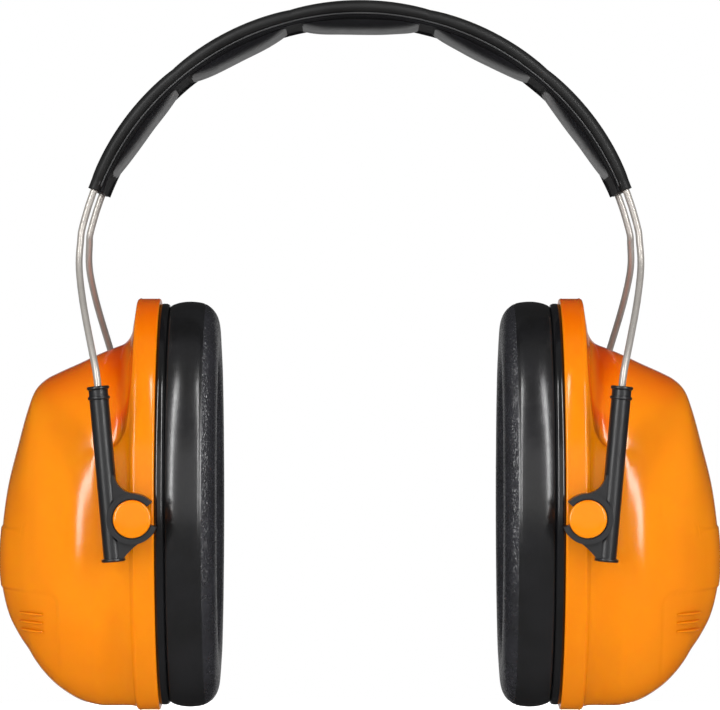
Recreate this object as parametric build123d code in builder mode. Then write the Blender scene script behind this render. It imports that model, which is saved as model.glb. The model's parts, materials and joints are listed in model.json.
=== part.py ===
"""Hearing protection earmuffs: two ear cups hung from a pair of spring wires under a padded headband.

Millimetres. +Z is up, +X is the wearer's left to right axis, and -Y is the front.
The origin is the underside of the middle crown pad, where the band rests on the head.
Every piece is drawn once, for the +X side and the -Y wire, and mirrored to its other places.
"""

from build123d import *

import math
import os

# Headband arch: the wires, strap and pads are concentric about a line along Y.
ARCH_R = 68.8  # to the centre of the wires
STRAP_OUT_R = 70.5
STRAP_IN_R = 67.3
STRAP_WEB = 0.8  # skin over the foams, between the strap's two thick edges
LINER_OUT_R = 67.2
LINER_IN_R = 66.6
STRAP_HALF_W = 18.2
FOAM_WELL_HALF_W = 14.1
LINER_HALF_W = 16.6
PAD_HALF_W = 14.6
STRAP_END = 68.5  # degrees from the top
# Pads of the liner: (start, end, radius to the face that touches the head), from the left end to the right
CROWN_PAD_R = 65.0
PADS = [
    (-64.9, -41.9, 65.9),
    (-38.2, -15.5, 65.2),
    (-12.3, 12.3, CROWN_PAD_R),
    (15.5, 38.2, 65.2),
    (41.9, 64.9, 65.9),
]
PAD_SKIN = 0.6
ARCH_Z = -CROWN_PAD_R

# Spring wires
WIRE_R = 0.85
WIRE_Y = 16.0  # half spacing under the strap
LEG_Y = 42.0  # half spacing beside the cups
LEG_SLOPE = math.radians(5.12)  # the legs lean inwards towards the bottom
ARCH_LEAVE = 75.0  # degrees from the top where a wire leaves the arch
# Points on the bend that spreads the wires apart, from the arch down to the straight leg
KNEE = [
    (67.3, 16.5, -51.5),
    (67.55, 18.1, -55.5),
    (67.2, 22.0, -61.2),
    (65.9, 28.4, -68.2),
    (64.15, 35.2, -75.4),
    (62.6, 40.3, -81.6),
]
LEG_TOP_Z = -86.9
CHANNEL_GAP = 0.1

# Cup pivot: a headed boss on the shell's front and back, in the clip of an arm
PIN_X = 53.5
PIN_Z = -118.4
BOSS_NECK_R = 2.8
BOSS_HEAD_R = 4.5
BOSS_ROOT_Y = 36.8
BOSS_HEAD_Y = 44.0  # underside of the head
BOSS_FACE_Y = 45.2
BOSS_ROUND = 0.5

# Arms: a tube on each wire leg with a C-shaped clip at its side
TUBE_R = 2.3
TUBE_BORE_R = 1.55
TUBE_OFFSET = 5.33  # from the tube's axis to the pivot's axis
TUBE_BELOW_PIN = 9.7
TUBE_LENGTH = 40.6
TUBE_FLOOR = 1.2
CLIP_R = 6.0
CLIP_BORE_R = 2.87
CLIP_SEAT_R = 4.78
CLIP_IN_Y = 39.2
CLIP_OUT_Y = 45.0
SEAT_FLOOR_Y = 43.95
CLIP_UPPER_JAW = 35.0  # degrees from straight inwards
CLIP_LOWER_JAW = 24.0
RING_R = 2.62
RING_BELOW_TOP = 1.5
LIP_R = 2.85
RING_T = 0.8
RING_ROUND = 0.3
# Hollow edges of the webs above and below the clip, as (inwards, down) from the pivot
UPPER_WEB = [(-3.33, -10.6), (-1.9, -7.3), (1.2, -5.85)]
LOWER_WEB = [(4.4, 4.2), (0.2, 6.4), (-3.03, 9.2)]
WEB_IN_Y = 40.2
WEB_T = 3.6
BUSH_LENGTH = 5.0
BUSH_FLANGE_R = 2.65
BUSH_FLANGE_T = 0.9
BUSH_ROUND = 0.42
BUSH_BORE_R = 0.9
STOP_R = 1.45
STOP_LENGTH = 3.6

# Ear cup
CUP_Z = -116.4
RIM_IN_X = 48.7  # the face that carries the cushion
RIM_OUT_X = 54.3
RIM_HALF_W = 38.6
RIM_HALF_H = 50.3
MOUTH_HALF_W = 35.2
MOUTH_HALF_H = 46.6
MOUTH_DEPTH = 4.4
WALL = 2.3
# Dome sections outwards from the rim: (x, centre z, half width, half height)
DOME = [
    (52.8, -117.4, 37.6, 48.0),
    (54.5, -118.2, 37.9, 47.2),
    (56.0, -120.4, 38.0, 45.0),
    (58.7, -121.5, 37.9, 43.9),
    (63.6, -122.3, 37.2, 42.9),
    (68.5, -122.7, 35.8, 41.0),
    (73.4, -122.3, 33.2, 38.4),
    (78.3, -121.6, 28.6, 34.0),
    (82.0, -123.8, 22.9, 27.4),
    (85.2, -126.5, 16.4, 19.0),
    (87.2, -129.0, 9.6, 11.4),
    (88.2, -130.2, 4.0, 5.0),
]

# Cushion
SEAL_X = 34.2  # the face that seals round the ear
CUSHION_BACK_X = 46.4
CUSHION_HALF_W = 38.5
CUSHION_HALF_H = 49.6
EAR_HALF_W = 22.6
EAR_HALF_H = 33.6
CUSHION_SKIN = 0.9
FACE_ROUND = 5.5
BACK_ROUND = 2.5
PLATE_HALF_W = 37.6
PLATE_HALF_H = 48.7
EAR_PORT_HALF_W = 27.0
EAR_PORT_HALF_H = 38.0
PLATE_LIP_END_X = 51.6
FIT_GAP = 0.1

# Foams inside the cup
FOAM_GAP = 0.5
LINER_FOAM_X = (56.3, 59.9)
DAMPER_X = (60.1, RIM_OUT_X + 40)

os.makedirs("parts", exist_ok=True)
arch_axis = Axis((0, 0, ARCH_Z), (0, 1, 0))


def oval_plane(x, z):
    """A plane across the ear's axis, with its first direction along +Y and its second along +Z."""
    return Plane(origin=(x, 0, z), x_dir=(0, 1, 0), z_dir=(1, 0, 0))


def arch_point(degrees, y):
    """A point on the wires' arch, turned from the top towards +X."""
    a = math.radians(degrees)
    return Vector(ARCH_R * math.sin(a), y, ARCH_Z + ARCH_R * math.cos(a))


def mirrored(part, about):
    with BuildPart() as copy:
        mirror(part, about=about)
    return copy.part


def save(part, name):
    part.label = name
    export_step(part, f"parts/{name}.step")


def save_pair(part, name):
    """Writes a piece of the +X side and its mirror image."""
    save(part, f"right_{name}")
    save(mirrored(part, Plane.YZ), f"left_{name}")


def save_four(part, name):
    """Writes a piece of the +X side's front arm and its three mirror images."""
    save_pair(part, f"front_{name}")
    save_pair(mirrored(part, Plane.XZ), f"rear_{name}")


# ---------------------------------------------------------------- arm frame
leg_up = Vector(math.sin(LEG_SLOPE), 0, math.cos(LEG_SLOPE))
inwards = Vector(-math.cos(LEG_SLOPE), 0, math.sin(LEG_SLOPE))
pivot = Vector(PIN_X, -LEG_Y, PIN_Z)
tube_foot = pivot - inwards * TUBE_OFFSET - leg_up * TUBE_BELOW_PIN
# First direction inwards, second direction down the leg, normal out of the front
clip_plane = Plane(origin=pivot, x_dir=inwards, z_dir=(0, -1, 0))


def along_tube(height):
    """A plane across the tube, at a height above its foot."""
    return Plane(origin=tube_foot + leg_up * height, x_dir=inwards, z_dir=leg_up)


def clip_depth(y):
    """The clip plane, moved out to a distance from the earmuffs' middle plane."""
    return clip_plane.offset(y - LEG_Y)


# ---------------------------------------------------------------- spring wires
wire_end = tube_foot + leg_up * (TUBE_FLOOR + 0.5)
leg_top = wire_end + leg_up * ((LEG_TOP_Z - wire_end.Z) / leg_up.Z)
leave = arch_point(ARCH_LEAVE, -WIRE_Y)
leave_direction = Vector(math.cos(math.radians(ARCH_LEAVE)), 0, -math.sin(math.radians(ARCH_LEAVE)))
knee = [leg_top] + [Vector(x, -y, z) for x, y, z in reversed(KNEE)] + [leave]

# Half of the wire, from the end of a leg to the top of the arch, and its mirror image
with BuildPart() as front_wire:
    with BuildLine():
        Line(wire_end, leg_top)
        Spline(*knee, tangents=(leg_up, -leave_direction))
        ThreePointArc(leave, arch_point(ARCH_LEAVE / 2, -WIRE_Y), arch_point(0, -WIRE_Y))
    with BuildSketch(Plane(origin=wire_end, z_dir=leg_up)):
        Circle(WIRE_R)
    sweep()
    mirror(about=Plane.YZ)
save(front_wire.part, "front_wire")
save(mirrored(front_wire.part, Plane.XZ), "rear_wire")

# ---------------------------------------------------------------- headband strap, liner and pads
with BuildPart() as strap:
    with BuildSketch(Plane.YZ):
        with Locations((0, (STRAP_IN_R + STRAP_OUT_R) / 2 + ARCH_Z)):
            RectangleRounded(2 * STRAP_HALF_W, STRAP_OUT_R - STRAP_IN_R, (STRAP_OUT_R - STRAP_IN_R) / 2 - 0.2)
        with Locations((0, (STRAP_IN_R + STRAP_OUT_R) / 2 + ARCH_Z - STRAP_WEB)):
            Rectangle(2 * FOAM_WELL_HALF_W, STRAP_OUT_R - STRAP_IN_R, mode=Mode.SUBTRACT)
        with Locations((-WIRE_Y, ARCH_R + ARCH_Z), (WIRE_Y, ARCH_R + ARCH_Z)):
            Circle(WIRE_R + CHANNEL_GAP, mode=Mode.SUBTRACT)
    revolve(axis=arch_axis, revolution_arc=STRAP_END)
    mirror(about=Plane.YZ)
save(strap.part, "headband_strap")


def arch_block(half_w, r_in, r_out, start, end, rounding):
    """A block bent round the arch between two angles, with the edges of its inner face rounded."""
    with BuildPart() as block:
        with BuildSketch(Plane.YZ):
            with Locations((0, (r_in + r_out) / 2 + ARCH_Z)):
                Rectangle(2 * half_w, r_out - r_in)
        revolve(axis=arch_axis, revolution_arc=end - start)
        if rounding:
            inner = block.faces().filter_by(GeomType.CYLINDER).sort_by(SortBy.AREA)[0]
            fillet(inner.edges(), rounding)
    return block.part.rotate(arch_axis, start)


skin_turn = math.degrees(PAD_SKIN / CROWN_PAD_R)
with BuildPart() as liner:
    add(arch_block(LINER_HALF_W, LINER_IN_R, LINER_OUT_R, -STRAP_END, STRAP_END, 0))
    for start, end, radius in PADS:
        add(arch_block(PAD_HALF_W, radius, LINER_OUT_R, start, end, PAD_SKIN))
    for start, end, radius in PADS:
        pocket = arch_block(
            PAD_HALF_W - PAD_SKIN, radius + PAD_SKIN, LINER_OUT_R + 1, start + skin_turn, end - skin_turn, 0
        )
        add(pocket, mode=Mode.SUBTRACT)
save(liner.part, "headband_liner")

foam_turn = math.degrees((PAD_SKIN + FIT_GAP) / CROWN_PAD_R)
for number, (start, end, radius) in enumerate(PADS, start=1):
    foam = arch_block(
        PAD_HALF_W - PAD_SKIN - FIT_GAP,
        radius + PAD_SKIN + FIT_GAP,
        STRAP_OUT_R - STRAP_WEB - FIT_GAP,
        start + foam_turn,
        end - foam_turn,
        0.4,
    )
    save(foam, f"crown_pad_foam_{number}")

# ---------------------------------------------------------------- wire stops and arm bushes
with BuildPart() as stop:
    with BuildSketch(along_tube(TUBE_FLOOR + 0.5)):
        Circle(STOP_R)
        Circle(WIRE_R + 0.02, mode=Mode.SUBTRACT)
    extrude(amount=STOP_LENGTH)
    chamfer(stop.edges().filter_by(GeomType.CIRCLE).group_by(SortBy.RADIUS)[-1], 0.3)
save_four(stop.part, "wire_stop")

with BuildPart() as bush:
    with BuildSketch(along_tube(TUBE_LENGTH - BUSH_LENGTH)):
        Circle(TUBE_BORE_R - 0.03)
    extrude(amount=BUSH_LENGTH)
    with BuildSketch(along_tube(TUBE_LENGTH)):
        Circle(BUSH_FLANGE_R)
    extrude(amount=BUSH_FLANGE_T)
    fillet(bush.edges().filter_by(GeomType.CIRCLE).group_by(SortBy.RADIUS)[-1], BUSH_ROUND)
    with BuildSketch(along_tube(TUBE_LENGTH - BUSH_LENGTH - 1)):
        Circle(BUSH_BORE_R)
    extrude(amount=BUSH_LENGTH + BUSH_FLANGE_T + 2, mode=Mode.SUBTRACT)
save_four(bush.part, "arm_bush")

# ---------------------------------------------------------------- arms
with BuildPart() as arm:
    with BuildSketch(along_tube(0)):
        Circle(TUBE_R)
    extrude(amount=TUBE_LENGTH)
    # Clip ring, and the webs that carry it above and below
    with BuildSketch(clip_depth(CLIP_IN_Y)):
        Circle(CLIP_R)
    extrude(amount=CLIP_OUT_Y - CLIP_IN_Y)
    with BuildSketch(clip_depth(WEB_IN_Y)):
        with BuildLine():
            ThreePointArc(*UPPER_WEB)
            Line(UPPER_WEB[-1], LOWER_WEB[0])
            ThreePointArc(*LOWER_WEB)
            Line(LOWER_WEB[-1], (-TUBE_OFFSET, LOWER_WEB[-1][1]))
            Line((-TUBE_OFFSET, LOWER_WEB[-1][1]), (-TUBE_OFFSET, UPPER_WEB[0][1]))
            Line((-TUBE_OFFSET, UPPER_WEB[0][1]), UPPER_WEB[0])
        make_face()
    extrude(amount=WEB_T)
    # A ring below the bush and a lip round the foot
    for height, radius in [(TUBE_LENGTH - RING_BELOW_TOP - RING_T, RING_R), (0, LIP_R)]:
        with BuildPart(mode=Mode.PRIVATE) as band:
            with BuildSketch(along_tube(height)):
                Circle(radius)
            extrude(amount=RING_T)
            fillet(band.edges(), RING_ROUND)
        add(band.part)
    # Seat for the boss's neck and head, and the clip's mouth towards the cushion
    with BuildSketch(clip_depth(CLIP_IN_Y - 1)):
        Circle(CLIP_BORE_R)
    extrude(amount=CLIP_OUT_Y - CLIP_IN_Y + 2, mode=Mode.SUBTRACT)
    with BuildSketch(clip_depth(SEAT_FLOOR_Y)):
        Circle(CLIP_SEAT_R)
    extrude(amount=CLIP_OUT_Y - SEAT_FLOOR_Y + 1, mode=Mode.SUBTRACT)
    with BuildSketch(clip_depth(CLIP_IN_Y - 1)):
        mouth = 2 * CLIP_R
        upper, lower = math.radians(CLIP_UPPER_JAW), math.radians(CLIP_LOWER_JAW)
        with BuildLine():
            Polyline(
                (0, 0),
                (mouth * math.cos(upper), -mouth * math.sin(upper)),
                (mouth * math.cos(lower), mouth * math.sin(lower)),
                close=True,
            )
        make_face()
    extrude(amount=CLIP_OUT_Y - CLIP_IN_Y + 2, mode=Mode.SUBTRACT)
    # Blind socket that the wire slides in
    with BuildSketch(along_tube(TUBE_FLOOR)):
        Circle(TUBE_BORE_R)
    extrude(amount=TUBE_LENGTH, mode=Mode.SUBTRACT)
save_four(arm.part, "arm")

# ---------------------------------------------------------------- cup shell
def inset(sections, gap):
    """The dome's sections moved inwards by a gap, square to the surface."""
    moved = []
    for i, (x, z, half_w, half_h) in enumerate(sections):
        before = sections[max(i - 1, 0)]
        after = sections[min(i + 1, len(sections) - 1)]
        run, fall = after[0] - before[0], before[2] - after[2]
        length = math.hypot(run, fall)
        sunk = gap * run / length
        moved.append((x - gap * fall / length, z, half_w - sunk, half_h - sunk))
    return moved


def dome_loft(sections):
    with BuildPart() as body:
        for x, z, half_w, half_h in sections:
            with BuildSketch(oval_plane(x, z)):
                Ellipse(half_w, half_h)
        loft()
    return body.part


mouth_end = (RIM_IN_X + MOUTH_DEPTH, CUP_Z, MOUTH_HALF_W, MOUTH_HALF_H)
with BuildPart() as shell:
    with BuildSketch(oval_plane(RIM_IN_X, CUP_Z)):
        Ellipse(RIM_HALF_W, RIM_HALF_H)
    extrude(amount=RIM_OUT_X - RIM_IN_X)
    add(dome_loft(DOME))
    with BuildSketch(oval_plane(RIM_IN_X, CUP_Z)):
        Ellipse(MOUTH_HALF_W, MOUTH_HALF_H)
    extrude(amount=MOUTH_DEPTH, mode=Mode.SUBTRACT)
    add(dome_loft([mouth_end] + inset(DOME, WALL)[2:]), mode=Mode.SUBTRACT)
    # Pivot bosses, front and rear
    for facing in (-1, 1):
        pin_line = Plane(origin=(PIN_X, 0, PIN_Z), x_dir=(1, 0, 0), z_dir=(0, facing, 0))
        with BuildSketch(pin_line.offset(BOSS_ROOT_Y)):
            Circle(BOSS_NECK_R)
        extrude(amount=BOSS_HEAD_Y - BOSS_ROOT_Y)
        with BuildSketch(pin_line.offset(BOSS_HEAD_Y)):
            Circle(BOSS_HEAD_R)
        extrude(amount=BOSS_FACE_Y - BOSS_HEAD_Y)
    head_edges = shell.edges().filter_by(lambda e: abs(e.center().Y) > BOSS_FACE_Y - 0.01)
    fillet(head_edges, BOSS_ROUND)
save_pair(shell.part, "cup_shell")

# ---------------------------------------------------------------- cushion and its plate
with BuildPart() as plate:
    with BuildSketch(oval_plane(CUSHION_BACK_X, CUP_Z)):
        Ellipse(PLATE_HALF_W, PLATE_HALF_H)
    extrude(amount=RIM_IN_X - CUSHION_BACK_X)
    with BuildSketch(oval_plane(RIM_IN_X, CUP_Z)):
        Ellipse(MOUTH_HALF_W - FIT_GAP, MOUTH_HALF_H - FIT_GAP)
    extrude(amount=PLATE_LIP_END_X - RIM_IN_X)
    with BuildSketch(oval_plane(CUSHION_BACK_X - 1, CUP_Z)):
        Ellipse(EAR_PORT_HALF_W, EAR_PORT_HALF_H)
    extrude(amount=PLATE_LIP_END_X - CUSHION_BACK_X + 2, mode=Mode.SUBTRACT)
save_pair(plate.part, "cushion_plate")


def cushion_ring(inset):
    """The cushion's ring, shrunk all round by an inset."""
    with BuildPart() as ring:
        with BuildSketch(oval_plane(SEAL_X + inset, CUP_Z)):
            Ellipse(CUSHION_HALF_W - inset, CUSHION_HALF_H - inset)
            Ellipse(EAR_HALF_W + inset, EAR_HALF_H + inset, mode=Mode.SUBTRACT)
        extrude(amount=CUSHION_BACK_X - SEAL_X - 2 * inset)
        fillet(ring.edges().group_by(Axis.X)[0], FACE_ROUND - inset)
        fillet(ring.edges().group_by(Axis.X)[-1].sort_by(SortBy.LENGTH)[-1], BACK_ROUND - inset)
    return ring.part


with BuildPart() as cushion:
    add(cushion_ring(0))
    add(cushion_ring(CUSHION_SKIN), mode=Mode.SUBTRACT)
save_pair(cushion.part, "ear_cushion")
save_pair(cushion_ring(CUSHION_SKIN + FIT_GAP), "cushion_foam")

# ---------------------------------------------------------------- foams inside the cup
def cup_foam(span):
    """A block of foam that fills the cup between two planes across the ear's axis."""
    with BuildPart() as foam:
        add(dome_loft(inset(DOME, WALL + FOAM_GAP)))
        split(bisect_by=Plane.YZ.offset(span[0]), keep=Keep.TOP)
        split(bisect_by=Plane.YZ.offset(span[1]), keep=Keep.BOTTOM)
    return foam.part


save_pair(cup_foam(LINER_FOAM_X), "liner_foam")
save_pair(cup_foam(DAMPER_X), "damping_foam")
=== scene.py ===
import json
import math

import bmesh
import bpy
import numpy as np
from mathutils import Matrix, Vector


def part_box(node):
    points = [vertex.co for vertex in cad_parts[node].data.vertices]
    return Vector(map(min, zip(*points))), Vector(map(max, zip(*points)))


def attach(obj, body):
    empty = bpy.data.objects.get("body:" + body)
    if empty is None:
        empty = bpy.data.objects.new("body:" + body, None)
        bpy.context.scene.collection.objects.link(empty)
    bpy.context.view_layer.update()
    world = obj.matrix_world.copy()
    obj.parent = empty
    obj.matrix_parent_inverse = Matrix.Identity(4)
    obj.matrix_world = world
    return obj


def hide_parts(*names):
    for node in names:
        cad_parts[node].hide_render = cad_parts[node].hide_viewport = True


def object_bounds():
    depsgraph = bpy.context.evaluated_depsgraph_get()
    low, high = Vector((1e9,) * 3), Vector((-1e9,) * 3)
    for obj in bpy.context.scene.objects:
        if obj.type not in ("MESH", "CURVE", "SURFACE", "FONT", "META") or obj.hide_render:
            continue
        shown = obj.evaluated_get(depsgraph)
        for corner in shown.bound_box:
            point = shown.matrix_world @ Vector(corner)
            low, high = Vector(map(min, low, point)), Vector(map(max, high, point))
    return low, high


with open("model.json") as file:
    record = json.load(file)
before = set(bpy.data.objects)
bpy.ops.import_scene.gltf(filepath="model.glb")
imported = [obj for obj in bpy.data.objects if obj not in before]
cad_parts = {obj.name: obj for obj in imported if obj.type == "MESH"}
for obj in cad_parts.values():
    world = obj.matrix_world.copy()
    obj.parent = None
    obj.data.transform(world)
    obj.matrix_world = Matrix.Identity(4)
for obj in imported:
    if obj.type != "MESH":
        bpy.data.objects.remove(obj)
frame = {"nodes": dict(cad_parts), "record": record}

# Looks of the hearing protection earmuffs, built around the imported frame. The part's lengths are in
# millimetres up to add_piece, which turns them into metres. X runs from the picture's left to its right,
# -Y is the front and +Z is up. The cup's shapes are made once, for the right cup, and mirrored for the left.
MM = 0.001
CAD_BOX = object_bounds()
SIDES = {"left": -1, "right": 1}
ENDS = {"front": -1, "rear": 1}


def box_mm(node):
    """The two corners of a CAD node's box."""
    low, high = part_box(node)
    return np.array(low) / MM, np.array(high) / MM


def smooth(t):
    """0 below 0, 1 above 1, and an S-curve between them."""
    t = np.clip(t, 0, 1)
    return t * t * (3 - 2 * t)


def spaced_curve(points, count):
    """Evenly spaced samples of a smooth curve through given points, in any number of dimensions."""
    p = np.array(points, dtype=float)
    step = np.linalg.norm(np.diff(p, axis=0), axis=1)
    t = np.concatenate([[0], np.cumsum(np.sqrt(step))])
    slope = np.gradient(p, t, axis=0)
    fine = np.linspace(0, t[-1], 40 * len(p))
    k = np.clip(np.searchsorted(t, fine, side="right") - 1, 0, len(p) - 2)
    h = (t[k + 1] - t[k])[:, None]
    s = ((fine - t[k])[:, None]) / h
    curve = (
        (2 * s**3 - 3 * s**2 + 1) * p[k]
        + (s**3 - 2 * s**2 + s) * h * slope[k]
        + (3 * s**2 - 2 * s**3) * p[k + 1]
        + (s**3 - s**2) * h * slope[k + 1]
    )
    along = np.concatenate([[0], np.cumsum(np.linalg.norm(np.diff(curve, axis=0), axis=1))])
    even = np.linspace(0, along[-1], count)
    return np.stack([np.interp(even, along, curve[:, i]) for i in range(p.shape[1])], axis=1)


def ring_noise(angles, seed, waves):
    """A smooth, repeatable ripple round a closed loop, of about unit height."""
    rng = np.random.default_rng(seed)
    ripple = np.zeros_like(angles)
    for wave in waves:
        ripple += rng.normal() * np.sin(wave * angles + rng.uniform(0, 2 * math.pi)) / len(waves)
    return ripple


# ---------------------------------------------------------------- mesh helpers
def grid_faces(rows, cols, closed_rows):
    """Quads of a grid of points, row by row. Each row is a closed loop."""
    faces = []
    last_row = rows if closed_rows else rows - 1
    for r in range(last_row):
        for c in range(cols):
            a, b = r * cols + c, r * cols + (c + 1) % cols
            d, e = ((r + 1) % rows) * cols + c, ((r + 1) % rows) * cols + (c + 1) % cols
            faces.append((a, b, e, d))
    return faces


class Shape:
    """Points and faces gathered from several surfaces, in millimetres, and each face's material slot."""

    def __init__(self):
        self.points, self.faces, self.slots = [], [], []

    def add(self, points, faces):
        start = len(self.points)
        self.points.extend(map(tuple, points))
        self.faces.extend(tuple(start + i for i in face) for face in faces)
        self.slots.extend([0] * len(faces))

    def grid(self, points, closed_rows=False, caps=()):
        """Rows of points that are closed loops, with a fan over the first or last row where caps names it."""
        points = np.asarray(points, dtype=float)
        rows, cols = points.shape[:2]
        faces = grid_faces(rows, cols, closed_rows)
        flat = points.reshape(-1, 3)
        for cap in caps:
            centre = points[cap].mean(axis=0)
            flat = np.vstack([flat, centre])
            base = 0 if cap == 0 else (rows - 1) * cols
            for c in range(cols):
                edge = (base + c, base + (c + 1) % cols)
                faces.append((*(edge[::-1] if cap == 0 else edge), len(flat) - 1))
        self.add(flat, faces)

    def lathe(self, profile, origin, axis, across, caps=(0, -1)):
        """A profile of (height along axis, radius) turned about an axis."""
        segments = 96
        axis, across = np.array(axis, float), np.array(across, float)
        third = np.cross(axis, across)
        a = np.linspace(0, 2 * math.pi, segments, endpoint=False)[None, :, None]
        h = np.array(profile)[:, 0][:, None, None]
        r = np.array(profile)[:, 1][:, None, None]
        points = np.array(origin) + h * axis + r * (np.cos(a) * across + np.sin(a) * third)
        self.grid(points, caps=caps)


def add_piece(name, shape, materials, body, replaces=(), mirror_x=False):
    """Makes the Blender object of a piece, parents it to the body it rides on, and hides the CAD parts it
    stands for.
    """
    points = np.array(shape.points) * MM
    if mirror_x:
        points[:, 0] *= -1
    mesh = bpy.data.meshes.new(name)
    mesh.from_pydata(points.tolist(), [], shape.faces)
    mesh.validate()
    for material in materials:
        mesh.materials.append(material)
    mesh.polygons.foreach_set("material_index", shape.slots)
    mesh.polygons.foreach_set("use_smooth", [True] * len(mesh.polygons))
    joined = bmesh.new()
    joined.from_mesh(mesh)
    bmesh.ops.remove_doubles(joined, verts=joined.verts, dist=1e-7)
    bmesh.ops.recalc_face_normals(joined, faces=joined.faces)
    joined.to_mesh(mesh)
    joined.free()
    piece = bpy.data.objects.new(name, mesh)
    bpy.context.scene.collection.objects.link(piece)
    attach(piece, body)
    if replaces:
        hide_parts(*replaces)
    return piece


# ---------------------------------------------------------------- materials
PAINTED_SHADE_ATTRIBUTE = "painted_shade"  # share of painted shade, a darker orange standing in for shade, stored on the shells' points
# Painted shade: the darker, redder orange that stands in for shade on upward faces and in the pocket under
# the rim.
SHADED_ORANGE = (0.56, 0.062, 0.001)
WAVE_DEPTH = 0.02  # of a moulded face that isn't quite even
FOAM_CELL = 0.8


def shader(name, color, roughness, **sockets):
    """A material with one Principled shader, and its node tree for the detail."""
    material = bpy.data.materials.new(name)
    material.use_nodes = True
    principled = material.node_tree.nodes["Principled BSDF"]
    principled.inputs["Base Color"].default_value = (*color, 1)
    principled.inputs["Roughness"].default_value = roughness
    for socket, value in sockets.items():
        principled.inputs[socket.replace("_", " ")].default_value = value
    return material, material.node_tree, principled


def node(tree, kind, inputs=None, **settings):
    """A shader node, with its settings made and its inputs linked or set."""
    made = tree.nodes.new(kind)
    for key, value in settings.items():
        setattr(made, key, value)
    for socket, value in (inputs or {}).items():
        if isinstance(value, bpy.types.NodeSocket):
            tree.links.new(value, made.inputs[socket])
        else:
            made.inputs[socket].default_value = value
    return made


def place(tree, stretch=(1, 1, 1)):
    """Object coordinates, so that detail stays on a piece when it moves."""
    coordinates = node(tree, "ShaderNodeTexCoord").outputs["Object"]
    return node(tree, "ShaderNodeMapping", {"Vector": coordinates, "Scale": stretch}).outputs["Vector"]


def noise(tree, where, size_mm, detail=4.0, distortion=0.0):
    """Noise with features of about one size, in millimetres."""
    made = node(
        tree,
        "ShaderNodeTexNoise",
        {"Vector": where, "Scale": 1000 / size_mm, "Detail": detail, "Distortion": distortion},
    )
    return made.outputs["Fac"]


def spread(tree, value, low, high, out_low=0.0, out_high=1.0):
    """A value mapped from one range to another, and held at its ends."""
    made = node(
        tree,
        "ShaderNodeMapRange",
        {"Value": value, "From Min": low, "From Max": high, "To Min": out_low, "To Max": out_high},
    )
    return made.outputs["Result"]


def tint(tree, principled, factor, dark, light):
    """Mixes the base colour from a dark and a light one."""
    mixed = node(tree, "ShaderNodeMix", data_type="RGBA")
    tree.links.new(factor, mixed.inputs["Factor"])
    mixed.inputs["A"].default_value = (*dark, 1)
    mixed.inputs["B"].default_value = (*light, 1)
    tree.links.new(mixed.outputs["Result"], principled.inputs["Base Color"])


def roughen(tree, principled, factor):
    tree.links.new(factor, principled.inputs["Roughness"])


def bumps(tree, principled, layers):
    """Stacked bump layers of (height, depth in mm)."""
    normal = None
    for height, depth in layers:
        made = node(tree, "ShaderNodeBump", {"Height": height, "Strength": 1.0, "Distance": depth * MM})
        if normal is not None:
            tree.links.new(normal, made.inputs["Normal"])
        normal = made.outputs["Normal"]
    tree.links.new(normal, principled.inputs["Normal"])


def moulded_plastic(name, dark, light, roughness, grain_mm=0.25, grain_depth=0.004, **sockets):
    """Injection-moulded plastic: faint flow marks, fine spark texture and slightly uneven gloss."""
    material, tree, principled = shader(name, light, roughness, **sockets)
    where = place(tree)
    flow = noise(tree, where, size_mm=22, detail=2)
    tint(tree, principled, spread(tree, flow, 0.3, 0.7), dark, light)
    grain = noise(tree, where, grain_mm, detail=2)
    scuffs = noise(tree, where, size_mm=5, detail=6, distortion=0.6)
    roughen(tree, principled, spread(tree, scuffs, 0.25, 0.75, roughness * 0.9, roughness * 1.15))
    waves = noise(tree, where, size_mm=14, detail=1)
    bumps(tree, principled, [(waves, WAVE_DEPTH), (grain, grain_depth)])
    return material


def shell_plastic():
    """The shells' orange plastic, with painted shade: a darker, redder orange where the shape faces up and in
    the pocket under the rim.
    """
    dark, light = (0.575, 0.156, 0.001), (0.61, 0.177, 0.0015)
    material = moulded_plastic("orange_plastic_painted_shade", dark, light, roughness=0.13)
    tree = material.node_tree
    principled = tree.nodes["Principled BSDF"]
    principled.inputs["Specular IOR Level"].default_value = 0.3
    principled.inputs["Subsurface Weight"].default_value = 0.25
    principled.inputs["Subsurface Radius"].default_value = (1.0, 0.25, 0.02)
    principled.inputs["Subsurface Scale"].default_value = 2.5 * MM
    plain = principled.inputs["Base Color"].links[0].from_socket
    # Painted shade: the darker orange is mixed in by the share stored on the shells' points.
    depth = node(tree, "ShaderNodeAttribute", attribute_name=PAINTED_SHADE_ATTRIBUTE).outputs["Fac"]
    mixed = node(tree, "ShaderNodeMix", data_type="RGBA")
    tree.links.new(depth, mixed.inputs["Factor"])
    tree.links.new(plain, mixed.inputs["A"])
    mixed.inputs["B"].default_value = (*SHADED_ORANGE, 1)
    tree.links.new(mixed.outputs["Result"], principled.inputs["Base Color"])
    return material


def vinyl(name, dark, light, roughness, grain_mm, grain_depth, crinkle_depth, **sockets):
    """Soft vinyl: a leather-like cell grain with fine crinkles."""
    material, tree, principled = shader(name, light, roughness, **sockets)
    where = place(tree)
    cells = node(
        tree,
        "ShaderNodeTexVoronoi",
        {"Vector": where, "Scale": 1000 / grain_mm, "Randomness": 0.9},
        feature="DISTANCE_TO_EDGE",
    ).outputs["Distance"]
    pebble = spread(tree, cells, 0.0, 0.35)
    cloud = noise(tree, where, size_mm=9, detail=5)
    crinkle = noise(tree, where, size_mm=2.6, detail=5, distortion=1.2)
    tint(tree, principled, spread(tree, cloud, 0.3, 0.7), dark, light)
    roughen(tree, principled, spread(tree, crinkle, 0.3, 0.7, roughness * 0.88, roughness * 1.12))
    bumps(tree, principled, [(crinkle, crinkle_depth), (pebble, grain_depth)])
    return material


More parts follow.
